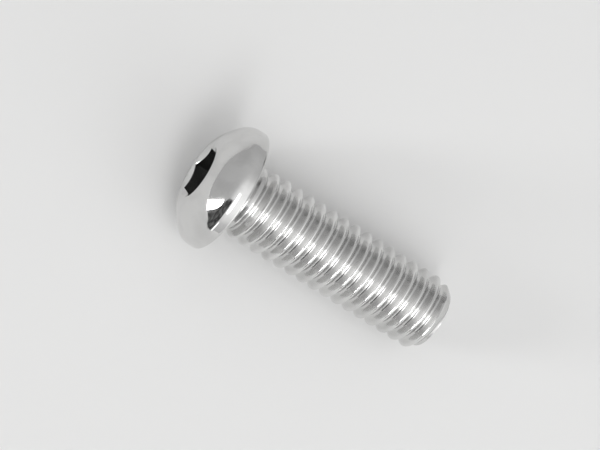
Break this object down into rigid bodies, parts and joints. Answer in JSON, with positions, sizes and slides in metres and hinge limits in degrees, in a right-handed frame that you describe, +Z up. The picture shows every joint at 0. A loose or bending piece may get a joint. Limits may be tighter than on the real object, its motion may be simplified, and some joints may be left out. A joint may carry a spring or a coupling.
{
  "type": "button head cap screw",
  "caption": "Button head cap screw with a low domed head, a countersunk hexagon socket, a fully threaded shank and a chamfered tip, lying on its side.",
  "frame": {"origin": "on the ground, below the middle of the screw's length as it lies", "axes": "+X from the head to the tip along the ground, +Z up"},
  "size_m": [0.0292, 0.0134, 0.0134],
  "materials": {
    "bright_metal": "polished bright metal"
  },
  "bodies": {
    "root": {"screw": "bright_metal"}
  },
  "joints": []
}
